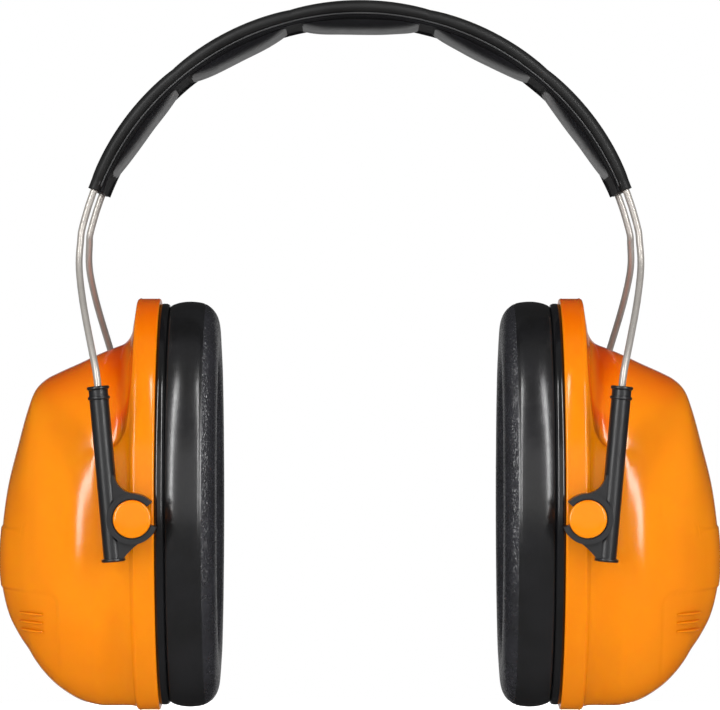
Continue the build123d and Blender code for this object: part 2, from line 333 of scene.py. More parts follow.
def foam(name, dark, light):
    """Open cell foam: small cells over soft unevenness."""
    material, tree, principled = shader(name, light, roughness=0.95)
    where = place(tree)
    voronoi = node(tree, "ShaderNodeTexVoronoi", {"Vector": where, "Scale": 1000 / FOAM_CELL})
    cells = voronoi.outputs["Distance"]
    tint(tree, principled, spread(tree, cells, 0.1, 0.6), dark, light)
    unevenness = noise(tree, where, size_mm=4, detail=4)
    bumps(tree, principled, [(unevenness, 0.1), (cells, 0.25)])
    return material


def drawn_wire(name, color, roughness):
    """Bright drawn steel with faint lengthwise draw marks and handling haze."""
    material, tree, principled = shader(name, color, roughness, Metallic=0.62)
    lengthwise = (9, 9, 0.5)
    streaks = noise(tree, place(tree, lengthwise), size_mm=1.6, detail=3)
    haze = noise(tree, place(tree), size_mm=7, detail=4)
    tint(tree, principled, spread(tree, haze, 0.3, 0.7), tuple(0.86 * c for c in color), color)
    roughen(tree, principled, spread(tree, streaks, 0.3, 0.7, roughness * 0.75, roughness * 1.3))
    bumps(tree, principled, [(streaks, 0.004)])
    return material


ORANGE = shell_plastic()
BLACK_PLASTIC = moulded_plastic(
    "black_plastic",
    dark=(0.003, 0.003, 0.004),
    light=(0.006, 0.006, 0.007),
    roughness=0.36,
    grain_mm=0.35,
    grain_depth=0.02,
    Specular_IOR_Level=0.65,
)
PLATE_PLASTIC = moulded_plastic(
    "plate_plastic",
    dark=(0.004, 0.004, 0.004),
    light=(0.006, 0.006, 0.007),
    roughness=0.14,
    Specular_IOR_Level=0.6,
)
CUSHION_SMOOTH = vinyl(
    "cushion_smooth_vinyl",
    dark=(0.005, 0.005, 0.005),
    light=(0.008, 0.008, 0.009),
    roughness=0.24,
    grain_mm=0.5,
    grain_depth=0.004,
    crinkle_depth=0.02,
    Specular_IOR_Level=0.66,
)
# The grained face skin: its grain is its own, and its grey is set lighter than the smooth wall's as painted
# light, standing in for the light that the sealing face catches.
CUSHION_GRAIN_PAINTED_LIGHT = vinyl(
    "cushion_grained_vinyl_painted_light",
    dark=(0.012, 0.012, 0.014),
    light=(0.020, 0.020, 0.024),
    roughness=0.26,
    grain_mm=0.6,
    grain_depth=0.10,
    crinkle_depth=0.05,
    Specular_IOR_Level=0.8,
)
STRAP_VINYL = vinyl(
    "strap_vinyl",
    dark=(0.005, 0.005, 0.005),
    light=(0.009, 0.009, 0.009),
    roughness=0.5,
    grain_mm=0.4,
    grain_depth=0.006,
    crinkle_depth=0.01,
    Specular_IOR_Level=0.3,
)
PAD_VINYL = vinyl(
    "pad_vinyl",
    dark=(0.004, 0.004, 0.005),
    light=(0.007, 0.007, 0.009),
    roughness=0.33,
    grain_mm=0.4,
    grain_depth=0.01,
    crinkle_depth=0.03,
    Specular_IOR_Level=0.6,
    Sheen_Weight=0.06,
    Sheen_Roughness=0.3,
)
# Painted shade: the creases, margins and back are a darker grey than the pads, besides being duller.
CREASE_VINYL_SHADED = vinyl(
    "crease_vinyl_painted_shade",
    dark=(0.003, 0.003, 0.0035),
    light=(0.004, 0.004, 0.005),
    roughness=0.6,
    grain_mm=0.4,
    grain_depth=0.01,
    crinkle_depth=0.03,
    Specular_IOR_Level=0.2,
)
WELD = vinyl(
    "weld_vinyl",
    dark=(0.02, 0.02, 0.021),
    light=(0.035, 0.035, 0.036),
    roughness=0.4,
    grain_mm=0.3,
    grain_depth=0.01,
    crinkle_depth=0.01,
)
DARK_FOAM = foam("dark_foam", dark=(0.012, 0.012, 0.013), light=(0.035, 0.035, 0.038))
GREY_FOAM = foam("grey_foam", dark=(0.10, 0.10, 0.10), light=(0.22, 0.22, 0.22))
STEEL = drawn_wire("drawn_wire", (0.48, 0.45, 0.415), roughness=0.36)
STOP_STEEL = drawn_wire("stop_steel", (0.5, 0.5, 0.5), roughness=0.35)


def dress(name, material):
    """Gives a CAD node a better material."""
    for slot in frame["nodes"][name].material_slots:
        slot.material = material


# ---------------------------------------------------------------- cup shell
RIM_LOW, RIM_HIGH = box_mm("right_cup_shell")
CUSHION_LOW, CUSHION_HIGH = box_mm("right_ear_cushion")
RIM_FACE_X = RIM_LOW[0]
CUP_Z = (RIM_LOW[2] + RIM_HIGH[2]) / 2
RIM_HALF_H = (RIM_HIGH[2] - RIM_LOW[2]) / 2
RIM_HALF_W = CUSHION_HIGH[1] + 0.1
WALL = 2.3
# Rim edge: (depth from the face, inset from the rim's outline), with a small bead at its far end
RIM_EDGE = [
    (0, 3.4),
    (0, 0.5),
    (0.05, 0.2),
    (0.2, 0.04),
    (0.4, 0),
    (0.55, -0.06),
    (0.7, 0),
    (2.8, 0),
    (4.55, 0),
    (4.68, -0.05),
    (4.8, -0.11),
    (4.95, -0.11),
    (5.1, -0.02),
    (5.3, 0.08),
    (5.5, 0.22),
]
# Dome: (depth, half width, top, top where the side stays flush with the rim, bottom). Heights are from the
# cup's centre.
DOME = [
    (5.6, 38.35, 49.8, 49.8, -49.9),
    (5.8, 38.15, 48.4, 49.4, -49.6),
    (6.2, 38.05, 45.9, 48.8, -49.45),
    (6.9, 38.0, 42.1, 47.9, -49.3),
    (8.5, 38.0, 39.6, 46.2, -49.2),
    (11.3, 37.8, 38.3, 43.4, -49.1),
    (14.9, 37.2, 36.8, 39.2, -48.8),
    (19.8, 35.8, 34.5, 34.5, -47.3),
    (24.7, 33.2, 32.3, 32.3, -44.2),
    (27.9, 30.6, 30.6, 30.6, -41.2),
    (30.2, 28.0, 28.3, 28.3, -38.4),
    (31.9, 25.6, 24.2, 24.2, -35.9),
    (34.5, 20.6, 15.4, 15.4, -32.5),
    (37.1, 14.6, 5.6, 5.6, -27.8),
    (38.7, 8.6, -3.1, -3.1, -22.2),
    (39.4, 3.6, -9.6, -9.6, -17.2),
    (39.5, 0.05, -13.35, -13.35, -13.45),
]
SHELL_COLUMNS, DOME_ROWS, INSIDE_ROWS = 320, 170, 60
# A dome section is squarer than an oval between these depths, by this much
SQUARER_FROM, SQUARER_UNTIL, SQUARER_EASE, SQUARER_BY = 7, 30, 8, 0.34
# The pocket under the rim's top: its lower edge, as (depth, degrees from the top)
POCKET_EDGE = ((5.6, 48.0), (6.1, 57.0), (6.9, 63.5), (8.9, 67.0), (12.0, 71.0))
POCKET_EDGE_HALF_TURN = 4.5
# Two shallow sunk panels on the outer face: (edge height, start depth, corner), fading away from the edge
PANEL_DEPTH, PANEL_EDGE = 0.32, 0.7
UPPER_PANEL, UPPER_FADE = (-5.6, 22.2, 4.5), 8.0
LOWER_PANEL, LOWER_FADE = (-19.6, 22.8, 3.5), -45.0
FADE_LENGTH = 15.0
# Grip ribs on the front and rear of the lower panel
RIB_HEIGHTS = (-25.4, -27.5, -29.6)
RIB_START, RIB_END = 27.0, 33.4
RIB_PROUD, RIB_HALF_THICK = 0.45, 0.36
RIB_ROOT_DEPTH = 14.0  # the ribs face away from this depth on the cup's axis
# Shares of painted shade, a darker orange standing in for shade: facing up, in the crease of the pocket, and
# over the rest of the pocket
UP_FACING_SHADE, CREASE_SHADE, POCKET_SHADE = 0.75, 0.9, 0.45


def dome_rows(count, inset=0.0):
    """Dome sections, evenly spaced from the rim to the tip, moved inwards by an inset."""
    rows = spaced_curve(DOME, count)
    if inset:
        run = np.gradient(rows[:, 0])
        fall = -np.gradient(rows[:, 1] + 0.5 * (rows[:, 2] - rows[:, 4])) / 2
        length = np.hypot(run, fall) + 1e-9
        rows = rows.copy()
        sunk = inset * run / length
        rows[:, 0] -= inset * fall / length
        rows[:, 1] = np.maximum(rows[:, 1] - sunk, 0.01)
        rows[:, 2] -= sunk
        rows[:, 3] -= sunk
        rows[:, 4] += sunk
        crossed = rows[:, 2] < rows[:, 4]
        middle = (rows[:, 2] + rows[:, 4]) / 2
        for column in (2, 3, 4):
            rows[crossed, column] = middle[crossed]
    return rows


def oval_power(depth):
    """Shape of a dome section: 1 for an oval at the rim, less where it is squarer along the dome."""
    begun = smooth((depth - SQUARER_FROM) / SQUARER_EASE)
    ended = smooth((depth - SQUARER_UNTIL) / SQUARER_EASE)
    return 1 / (1 + SQUARER_BY * begun * (1 - ended))


def dome_points(rows, angles):
    """Points of the dome's sections at angles from the top, as (rows, angles, xyz) from the cup's centre."""
    depth, half_w, top, flush, bottom = (rows[:, i][:, None] for i in range(5))
    turn = angles[None, :]
    from_top = np.degrees(np.abs((turn + math.pi) % (2 * math.pi) - math.pi))
    edge = np.interp(depth, *zip(*POCKET_EDGE))
    pocket = smooth((edge + POCKET_EDGE_HALF_TURN - from_top) / (2 * POCKET_EDGE_HALF_TURN))
    crown = pocket * top + (1 - pocket) * flush
    power = oval_power(depth)
    across = np.sign(np.sin(turn)) * np.abs(np.sin(turn)) ** power
    along = np.sign(np.cos(turn)) * np.abs(np.cos(turn)) ** power
    y = half_w * across
    z = (crown + bottom) / 2 + (crown - bottom) / 2 * along
    return np.stack(np.broadcast_arrays(depth, y, z), axis=2)


def rounded_inside(a, b, corner):
    """1 where both distances a and b from two crossing edges are positive, with a rounded corner."""
    outside = np.hypot(np.maximum(corner - a, 0), np.maximum(corner - b, 0))
    return smooth((corner - outside) / PANEL_EDGE)


def panel_relief(points):
    """Height of the outer face over the plain dome: below it in the two panels."""
    depth, height = points[..., 0], points[..., 2]
    edge, start, corner = UPPER_PANEL
    upper = rounded_inside(height - edge, depth - start, corner)
    upper = upper * smooth((UPPER_FADE - height) / FADE_LENGTH)
    edge, start, corner = LOWER_PANEL
    lower = rounded_inside(edge - height, depth - start, corner)
    lower = lower * smooth((height - LOWER_FADE) / FADE_LENGTH)
    return -PANEL_DEPTH * (upper + lower)


def grid_normals(points):
    """Outward unit normals of a grid of points whose rows are closed loops."""
    along = np.gradient(points, axis=0)
    around = np.roll(points, -1, axis=1) - np.roll(points, 1, axis=1)
    normal = np.cross(around, along)
    length = np.linalg.norm(normal, axis=2, keepdims=True)
    normal = np.where(length > 1e-9, normal / np.maximum(length, 1e-9), [1.0, 0, 0])
    outward = points - points.mean(axis=(0, 1))
    sign = np.sign((normal * outward).sum(axis=2).mean())
    return normal * sign


def from_cup_centre(points):
    """Moves points given from the right cup's centre to their place in the part."""
    return np.asarray(points) + np.array([RIM_FACE_X, 0, CUP_Z])


def oval(x, half_w, half_h, angles):
    """An upright oval across the X axis, at angles from the top."""
    return np.stack([np.full_like(angles, x), half_w * np.sin(angles), half_h * np.cos(angles)], axis=1)


def add_painted_shade(piece):
    """Stores how much painted shade darkens the plastic's colour: where it faces up, and in the pocket's
    crease.
    """
    count = len(piece.data.vertices)
    points, normals = np.empty(3 * count), np.empty(3 * count)
    piece.data.vertices.foreach_get("co", points)
    piece.data.vertices.foreach_get("normal", normals)
    x, y, z = (points.reshape(-1, 3) / MM).T
    depth, height = np.abs(x) - RIM_FACE_X, z - CUP_Z
    from_top = np.degrees(np.arctan2(np.abs(y) / RIM_HALF_W, height / RIM_HALF_H))
    # Painted shade: darker where the surface faces up, in the pocket's crease and over the rest of the
    # pocket.
    shade_facing_up = smooth((normals.reshape(-1, 3)[:, 2] - 0.45) / 0.55)
    off_edge = (np.interp(depth, *zip(*POCKET_EDGE)) - from_top) / (2 * POCKET_EDGE_HALF_TURN)
    near_rim = smooth((depth - 5.3) / 0.5) * smooth((15 - depth) / 8)
    crease = np.exp(-((off_edge - 0.45) ** 2) * 4) * near_rim
    pocket = POCKET_SHADE * smooth(off_edge) * near_rim
    value = np.clip(UP_FACING_SHADE * shade_facing_up + np.maximum(CREASE_SHADE * crease, pocket), 0, 1)
    piece.data.attributes.new(PAINTED_SHADE_ATTRIBUTE, "FLOAT", "POINT").data.foreach_set("value", value)


def shell_shape():
    """The hollow shell: its inner face, the mouth inside the rim, the rim and the dome."""
    angles = np.linspace(0, 2 * math.pi, SHELL_COLUMNS, endpoint=False)
    shape = Shape()
    rim = np.array([oval(d, RIM_HALF_W - e, RIM_HALF_H - e, angles) for d, e in RIM_EDGE])
    dome = dome_points(dome_rows(DOME_ROWS), angles)
    dome = dome + grid_normals(dome) * panel_relief(dome)[..., None]
    clear_of_mouth = 4
    inside = dome_points(dome_rows(INSIDE_ROWS, WALL), angles)[clear_of_mouth:][::-1]
    mouth_inset = RIM_EDGE[0][1]
    mouth_w, mouth_h = RIM_HALF_W - mouth_inset, RIM_HALF_H - mouth_inset
    mouth = np.array([oval(depth, mouth_w, mouth_h, angles) for depth in (4.4, 0.3)])
    shape.grid(from_cup_centre(np.concatenate([inside, mouth, rim, dome])), caps=(0, -1))
    return shape


def add_button(shape, pivot, facing):
    """The pivot boss on the shell's front or rear: a neck and a headed button."""
    face_y = RIM_HIGH[1]
    # (distance from the cup's middle plane, radius)
    profile = [
        (36.6, 4.2),
        (38.0, 3.9),
        (38.5, 3.2),
        (38.9, 2.85),
        (39.6, 2.8),
        (43.9, 2.8),
        (44.0, 3.0),
        (44.0, 4.3),
        (44.1, 4.46),
        (44.3, 4.5),
        (face_y - 0.5, 4.5),
        (face_y - 0.2, 4.42),
        (face_y - 0.05, 4.2),
        (face_y + 0.05, 3.6),
        (face_y + 0.12, 2.0),
    ]
    shape.lathe(profile, (pivot[0], 0, pivot[2]), (0, facing, 0), (1, 0, 0))


def add_ribs(shape):
    """Short grip ribs on the lower panel, on the front and rear of the outer face."""
    rows = dome_rows(400)
    reach = rows[(rows[:, 0] > RIB_START) & (rows[:, 0] < RIB_END)]
    turn = np.linspace(0, 2 * math.pi, 12, endpoint=False)[None, :, None]
    up = np.array([0, 0, 1.0])
    for facing in ENDS.values():
        for height in RIB_HEIGHTS:
            depth, half_w, crown, bottom = (reach[:, i] for i in (0, 1, 3, 4))
            cosine = (height - (crown + bottom) / 2) / ((crown - bottom) / 2)
            on_dome = np.abs(cosine) < 0.98
            depth, half_w, cosine = depth[on_dome], half_w[on_dome], cosine[on_dome]
            power = oval_power(depth)
            y = facing * half_w * (1 - np.abs(cosine) ** (2 / power)) ** (power / 2)
            path = np.stack([depth, y, np.full_like(y, height)], axis=1)
            path = path[:: max(1, len(path) // 24)]
            outward = path - np.array([RIB_ROOT_DEPTH, 0, height])
            outward /= np.linalg.norm(outward, axis=1, keepdims=True)
            along = np.linspace(0.02, 0.98, len(path))
            size = (np.sqrt(np.clip(np.sin(along * math.pi), 0, 1)) ** 0.6)[:, None, None]
            ring = RIB_PROUD * np.cos(turn) * outward[:, None] + RIB_HALF_THICK * np.sin(turn) * up
            shape.grid(from_cup_centre(path[:, None] + size * ring), caps=(0, -1))


def pivot_mm(side):
    """The place of a cup's tilt joint."""
    joint = next(j for j in frame["record"]["behaviour"]["joints"] if j["name"] == f"{side}_cup_tilt")
    return np.array(joint["pos_m"]) / MM


def make_cup_shells():
    pivot = pivot_mm("right")
    shape = shell_shape()
    for facing in ENDS.values():
        add_button(shape, pivot, facing)
    add_ribs(shape)
    for side, sx in SIDES.items():
        shell = add_piece(
            f"{side}_shell",
            shape,
            [ORANGE],
            f"{side}_cup",
            replaces=[f"{side}_cup_shell"],
            mirror_x=sx < 0,
        )
        add_painted_shade(shell)


# ---------------------------------------------------------------- cushion, its plate and foam
# Cushion section: (depth behind the sealing face, inset from the outline), round from the back
CUSHION_SECTION = [
    (12.2, 3.4),
    (12.2, 1.75),
    (12.1, 1.3),
    (11.75, 0.98),
    (11.1, 0.68),
    (10.2, 0.38),
    (9.2, 0.17),
    (8.4, 0.07),
    (7.4, 0.02),
    (6.6, 0.04),
    (5.2, 0.18),
    (4.3, 0.36),
    (3.8, 0.52),
    (3.62, 0.7),
    (3.4, 0.7),
    (2.6, 1.2),
    (1.6, 2.15),
    (0.8, 3.4),
    (0.3, 4.9),
    (0.06, 6.6),
    (0.02, 8.4),
    (0.12, 10.4),
    (0.7, 12.4),
    (2.0, 14.3),
    (4.2, 15.6),
    (6.8, 15.9),
    (9.4, 15.6),
    (11.4, 14.6),
    (12.2, 13.0),
    (12.2, 9.0),
]
# The smooth outer wall ends at the weld step; from there on the skin is grained, and its grey is painted
# lighter as painted light
SMOOTH_FROM_DEPTH, SMOOTH_TO_INSET = 3.55, 6
SECTION_POINTS = 150
CUSHION_HALF_W = CUSHION_HIGH[1]
CUSHION_HALF_H = (CUSHION_HIGH[2] - CUSHION_LOW[2]) / 2
WRINKLES = 0.5
# How far the plate's skirt stands past its CAD solid, in width and in height
PLATE_PAST_W, PLATE_PAST_H = 0.3, 0.4


def closed_curve(points, count):
    """Evenly spaced samples of a smooth closed curve."""
    wrapped = [*points[-3:], *points, *points[:3]]
    curve = spaced_curve(wrapped, 60 * len(wrapped))
    first = np.array(points[0])
    half = len(curve) // 2
    start = np.argmin(np.linalg.norm(curve[:half] - first, axis=1))
    end = half + np.argmin(np.linalg.norm(curve[half:] - first, axis=1))
    loop = curve[start:end]
    along = np.concatenate([[0], np.cumsum(np.linalg.norm(np.diff(loop, axis=0), axis=1))])
    even = np.linspace(0, along[-1], count, endpoint=False)
    return np.stack([np.interp(even, along, loop[:, i]) for i in range(2)], axis=1)


def cushion_points(section, angles, wrinkles=0.0):
    """The cushion's section carried round its oval, with the slight unevenness of a soft skin."""
    depth, inset = section[:, 0][:, None], section[:, 1][:, None]
    turn = angles[None, :]
    inner_wall = smooth((inset - 9) / 6) * smooth((11 - depth) / 6)
    wrinkle = wrinkles * inner_wall * ring_noise(turn, 7, (9, 14, 21, 33, 47))
    slack = wrinkles * 0.35 * ring_noise(turn, 3, (2, 3, 5, 8))
    slack = slack * smooth((inset - 1) / 5) * smooth((12 - depth) / 4)
    x = CUSHION_LOW[0] + depth + np.maximum(slack, 0) * 0.4
    reach = inset + wrinkle
    y = (CUSHION_HALF_W - reach) * np.sin(turn)
    z = CUP_Z + (CUSHION_HALF_H - reach) * np.cos(turn)
    return np.stack([x, y, z], axis=2)


def cushion_shape():
    angles = np.linspace(0, 2 * math.pi, 300, endpoint=False)
    section = closed_curve(CUSHION_SECTION, SECTION_POINTS)
    shape = Shape()
    shape.grid(cushion_points(section, angles, WRINKLES), closed_rows=True)
    outer_wall = (section[:, 0] >= SMOOTH_FROM_DEPTH) & (section[:, 1] < SMOOTH_TO_INSET)
    shape.slots = [0 if outer_wall[f // len(angles)] else 1 for f in range(len(shape.faces))]
    return shape


def cushion_foam_shape():
    """The foam ring: the cushion's section, shrunk about its middle."""
    angles = np.linspace(0, 2 * math.pi, 96, endpoint=False)
    middle, shrink = np.array([6.1, 8.0]), np.array([0.8, 0.82])
    section = middle + (closed_curve(CUSHION_SECTION, 40) - middle) * shrink
    shape = Shape()
    shape.grid(cushion_points(section, angles), closed_rows=True)
    return shape


def plate_shape():
    """The plate that clips the cushion to the rim: its rounded skirt shows between them."""
    low, high = box_mm("right_cushion_plate")
    half_w, half_h = high[1] + PLATE_PAST_W, (high[2] - low[2]) / 2 + PLATE_PAST_H
    angles = np.linspace(0, 2 * math.pi, 256, endpoint=False)
    skirt_end = RIM_FACE_X
    # (x, inset from the skirt's outline)
    section = [
        (low[0], 10.6),
        (low[0], 0.75),
        (low[0] + 0.2, 0.28),
        (low[0] + 0.7, 0.04),
        (low[0] + 1.5, 0.0),
        (skirt_end - 0.06, 0.12),
        (skirt_end, 0.4),
        (skirt_end, 2.5),
        (high[0] - 0.3, 2.5),
        (high[0], 2.8),
        (high[0], 10.3),
        (high[0] - 0.3, 10.6),
    ]
    rings = np.array([oval(x, half_w - inset, half_h - inset, angles) for x, inset in section])
    shape = Shape()
    shape.grid(rings + np.array([0, 0, CUP_Z]), closed_rows=True)
    return shape


def foam_disc_shape(name, bulge):
    """A foam block inside the cup, between the planes of its CAD solid. Its ear side may bulge."""
    low, high = box_mm(name)
    start, end = low[0] - RIM_FACE_X, high[0] - RIM_FACE_X
    angles = np.linspace(0, 2 * math.pi, 128, endpoint=False)
    gap = 0.6
    rows = dome_rows(200, WALL + gap)
    rows = rows[(rows[:, 0] > start) & (rows[:, 0] < end)][::4]
    side = dome_points(rows, angles)
    front = []
    for share in np.linspace(0.04, 0.97, 16):
        ring = side[0].copy()
        centre = ring.mean(axis=0)
        ring = centre + (ring - centre) * share
        ring[:, 0] = start + bulge * (share**2 - 1) + 0.5 * smooth((share - 0.9) / 0.1)
        front.append(ring)
    shape = Shape()
    shape.grid(from_cup_centre(np.concatenate([front, side])), caps=(0, -1))
    return shape


def make_cushions():
    shapes = {
        "ear_cushion": (cushion_shape(), [CUSHION_SMOOTH, CUSHION_GRAIN_PAINTED_LIGHT], "cushion_vinyl", 0.75),
        "cushion_plate": (plate_shape(), [PLATE_PLASTIC], "plate_plastic", None),
        "cushion_foam": (cushion_foam_shape(), [GREY_FOAM], "cushion_foam", 0.6),
        "liner_foam": (foam_disc_shape("right_liner_foam", 0.6), [DARK_FOAM], "liner_foam", 0.5),
        "damping_foam": (foam_disc_shape("right_damping_foam", 0.0), [GREY_FOAM], "damping_foam", 0.5),
    }
    for side, sx in SIDES.items():
        for part, (shape, materials, slot, pad) in shapes.items():
            name, body = f"{side}_{part}", f"{side}_cup"
            add_piece(f"{name}_look", shape, materials, body, [name], mirror_x=sx < 0)


# ---------------------------------------------------------------- headband
STRAP_LOW, STRAP_HIGH = box_mm("headband_strap")
STRAP_R = 70.5
ARCH_Z = STRAP_HIGH[2] - STRAP_R
# Angles are in degrees off the top
STRAP_END = math.degrees(math.atan2(STRAP_HIGH[0], STRAP_LOW[2] - ARCH_Z)) - 0.6
STRAP_HALF_W, STRAP_OUTER_R, STRAP_UNDER_R = 18.1, 70.3, 67.65
WIRE_Y = 16.0
CREASES = (-66.6, -40.0, -13.9, 13.9, 40.0, 66.6)
LINER_R = 67.2
LINER_HALF_W, LINER_THICK = 16.7, 0.42
PAD_HALF_W = 14.6
# Pads between the creases: (start, end, depth below the creased liner)
PADS = (
    (-65.2, -41.7, 1.2),
    (-38.4, -15.4, 1.8),
    (-12.5, 12.5, 2.2),
    (15.4, 38.4, 1.8),
    (41.7, 65.2, 1.2),
)
# A pad's rise at its ends and the further rise in its middle, past the CAD liner
PAD_STEP, PAD_BELLY = 0.35, 0.7
PAD_FOAM_HALF_W, PAD_FOAM_R, PAD_FOAM_HALF_THICK = 12.8, 68.2, 1.25
# How far the welded margins stand down, and the drop under which the vinyl is dull and has painted shade, a
# darker grey
MARGIN_DROP, DULL_AND_SHADED_BELOW = 0.5, 0.6
# Beads along each edge: (name, radius, size), drawn in a little at the creases
BEADS = (("weld", 67.55, 0.2), ("seam", 68.2, 0.13))
BEAD_Y, BEAD_DRAWN_IN = 17.35, 0.45


def between_creases(angles):
    """0 at each crease of the headband, 1 in the middle of each pad."""
    rise = np.zeros_like(angles)
    for low, high in zip(CREASES[:-1], CREASES[1:]):
        t = (angles - low) / (high - low)
        inside = (t > 0) & (t < 1)
        rise = np.where(inside, np.sin(np.clip(t, 0, 1) * math.pi) ** 0.6, rise)
    return rise


def on_arch(angles_deg, y, radius):
    """Points round the headband, from an angle off the top, a width and a radius."""
    a = np.radians(angles_deg)
    return np.stack(np.broadcast_arrays(radius * np.sin(a), y, ARCH_Z + radius * np.cos(a)), axis=-1)


def strap_shape():
    """The outer cover: a crowned vinyl sleeve, thicker over the pads and drawn in at the creases."""
    angles = np.linspace(-STRAP_END, STRAP_END, 420)
    swell = between_creases(angles)[:, None]
    half_w = STRAP_HALF_W - 0.5 * (1 - swell) - 0.6 * smooth((np.abs(angles)[:, None] - 64) / 5)
    # Round the sleeve: share of the half width, and level from the underside (0) to the outer side (1)
    fold = np.linspace(0.12, math.pi - 0.12, 14)
    flat, rounding = 0.9, 0.1 * np.sin(fold)
    across = np.concatenate(
        [np.linspace(-flat, flat, 40), flat + rounding, np.linspace(flat, -flat, 24), -flat - rounding]
    )
    level = np.concatenate([np.ones(40), 0.5 + 0.5 * np.cos(fold), np.zeros(24), 0.5 - 0.5 * np.cos(fold)])
    y = across[None, :] * half_w
    over_wire = np.exp(-(((np.abs(y) - WIRE_Y) / 1.5) ** 2))
    sunk = 0.25 * (1 - over_wire) * smooth(np.abs(y) / 14)
    outer = STRAP_OUTER_R + 0.35 * swell - sunk + 0.1 * over_wire
    under = STRAP_UNDER_R - 0.25 * over_wire + 0.1 * swell
    radius = under + (outer - under) * level[None, :]
    shape = Shape()
    shape.grid(on_arch(angles[:, None], y, radius), caps=(0, -1))
    return shape


def liner_shape():
    """The inner cover: a sheet with welded margins that bulges into five soft pads."""
    angles = np.linspace(-STRAP_END + 0.1, STRAP_END - 0.1, 560)
    columns = np.linspace(-1, 1, 120)
    y = columns[None, :] * (LINER_HALF_W - 0.8 * smooth((np.abs(angles)[:, None] - 65) / 3))
    drop = np.zeros((len(angles), len(columns)))
    for start, end, depth in PADS:
        t = np.clip(2 * (angles - start) / (end - start) - 1, -1, 1)[:, None]
        u = np.clip(y / PAD_HALF_W, -1, 1)
        crowned = (1 - np.abs(u) ** 4) ** 0.55
        fullness = (1 - np.abs(t) ** 2.3) ** 0.5 * crowned
        pucker = 1 + 0.05 * np.sin(9 * u + 2.0 * t) * np.abs(t) ** 3
        belly = PAD_BELLY * (1 - t**2) * crowned
        drop = np.maximum(drop, (depth + PAD_STEP) * fullness * pucker + belly)
    # Welded margins that stand a little below the creases
    drop = np.maximum(drop, MARGIN_DROP * smooth((np.abs(columns) - 0.86) / 0.08)[None, :])
    unevenness = 0.10 * ring_noise(np.radians(angles) * 6, 11, (3, 5, 9))[:, None]
    drop = drop + unevenness * (drop > 0.3)
    face = on_arch(angles[:, None], y, LINER_R - drop)
    back = on_arch(angles[:, None], y, LINER_R + LINER_THICK)
    loop = np.concatenate([face, back[:, ::-1]], axis=1)
    shape = Shape()
    shape.grid(loop, caps=(0, -1))
    # The flat creases, margins and back are duller than the stretched pads, and painted a darker grey as
    # painted shade
    dull_and_shaded = np.ones(loop.shape[:2], dtype=int)
    dull_and_shaded[:, : len(columns)] = drop < DULL_AND_SHADED_BELOW
    shape.slots[: dull_and_shaded[:-1].size] = dull_and_shaded[:-1].ravel().tolist()
    return shape


def bead_shape(y_side, radius, size):
    """A raised bead along the headband's edge."""
    angles = np.linspace(-STRAP_END + 1.2, STRAP_END - 1.2, 300)
    turn = np.linspace(0, 2 * math.pi, 10, endpoint=False)
    swell = between_creases(angles)[:, None]
    y = y_side * (BEAD_Y - BEAD_DRAWN_IN * (1 - swell)) + size * np.cos(turn)[None, :]
    r = radius + size * np.sin(turn)[None, :]
    shape = Shape()
    shape.grid(on_arch(angles[:, None], y, r), caps=(0, -1))
    return shape


def pad_foam_shape(start, end, depth):
    """The foam inside one pad."""
    angles = np.linspace(start + 1.2, end - 1.2, 40)
    turn = np.linspace(0, 2 * math.pi, 48, endpoint=False)
    t = np.clip(2 * (angles - start) / (end - start) - 1, -1, 1)[:, None]
    full = (1 - np.abs(t) ** 6) ** 0.5
    across = np.sign(np.cos(turn)) * np.abs(np.cos(turn)) ** 0.4
    level = np.sign(np.sin(turn)) * np.abs(np.sin(turn)) ** 0.6
    y = PAD_FOAM_HALF_W * across * (0.85 + 0.15 * full)
    r = PAD_FOAM_R + PAD_FOAM_HALF_THICK * level * (0.5 + 0.5 * full) - 0.2 * depth
    shape = Shape()
    shape.grid(on_arch(angles[:, None], y, r), caps=(0, -1))
    return shape


def make_headband():
    body = "headband"
    add_piece("headband_cover", strap_shape(), [STRAP_VINYL], body, ["headband_strap"])
    pads = [PAD_VINYL, CREASE_VINYL_SHADED]
    add_piece("headband_pads", liner_shape(), pads, body, ["headband_liner"])
    for end, sy in ENDS.items():
        for bead, radius, size in BEADS:
            add_piece(f"headband_{end}_{bead}", bead_shape(sy, radius, size), [WELD], body)
    for number, pad in enumerate(PADS, start=1):
        name = f"crown_pad_foam_{number}"
        add_piece(f"{name}_look", pad_foam_shape(*pad), [GREY_FOAM], body, [name])


# ---------------------------------------------------------------- studio, in metres
CAMERA_DISTANCE = 1.05
VIEW_WIDTH = 0.1764  # width of the view at the part's middle plane
CAMERA_Z = -0.0799
SENSOR = 36.0  # millimetres
FLOOR_DROP = 0.034  # below the cups, so that they clear it when they slide down
FLOOR_REACH = 0.45
WHITE = (1, 1, 1, 1)
# Lights: (name, position, width, height, watts)
LIGHTS = (
    ("left_strip", (-0.78, -1.04, 0.55), 0.14, 1.7, 17.0),
    ("right_strip", (0.78, -1.04, 0.55), 0.14, 1.7, 17.0),
    ("front_softbox", (0.0, -1.7, 0.2), 1.6, 1.0, 3.0),
    ("back_glow", (0.0, 0.9, -0.16), 0.5, 0.4, 0.24),
)


def make_camera():
    camera = bpy.data.objects.new("camera", bpy.data.cameras.new("camera"))
    bpy.context.scene.collection.objects.link(camera)
    camera.location = (0, -CAMERA_DISTANCE, CAMERA_Z)
    camera.rotation_euler = (math.radians(90), 0, 0)
    camera.data.sensor_width = SENSOR
    camera.data.lens = SENSOR * CAMERA_DISTANCE / VIEW_WIDTH
    camera.data.clip_start = 0.05
    camera.data.clip_end = 60
    bpy.context.scene.camera = camera


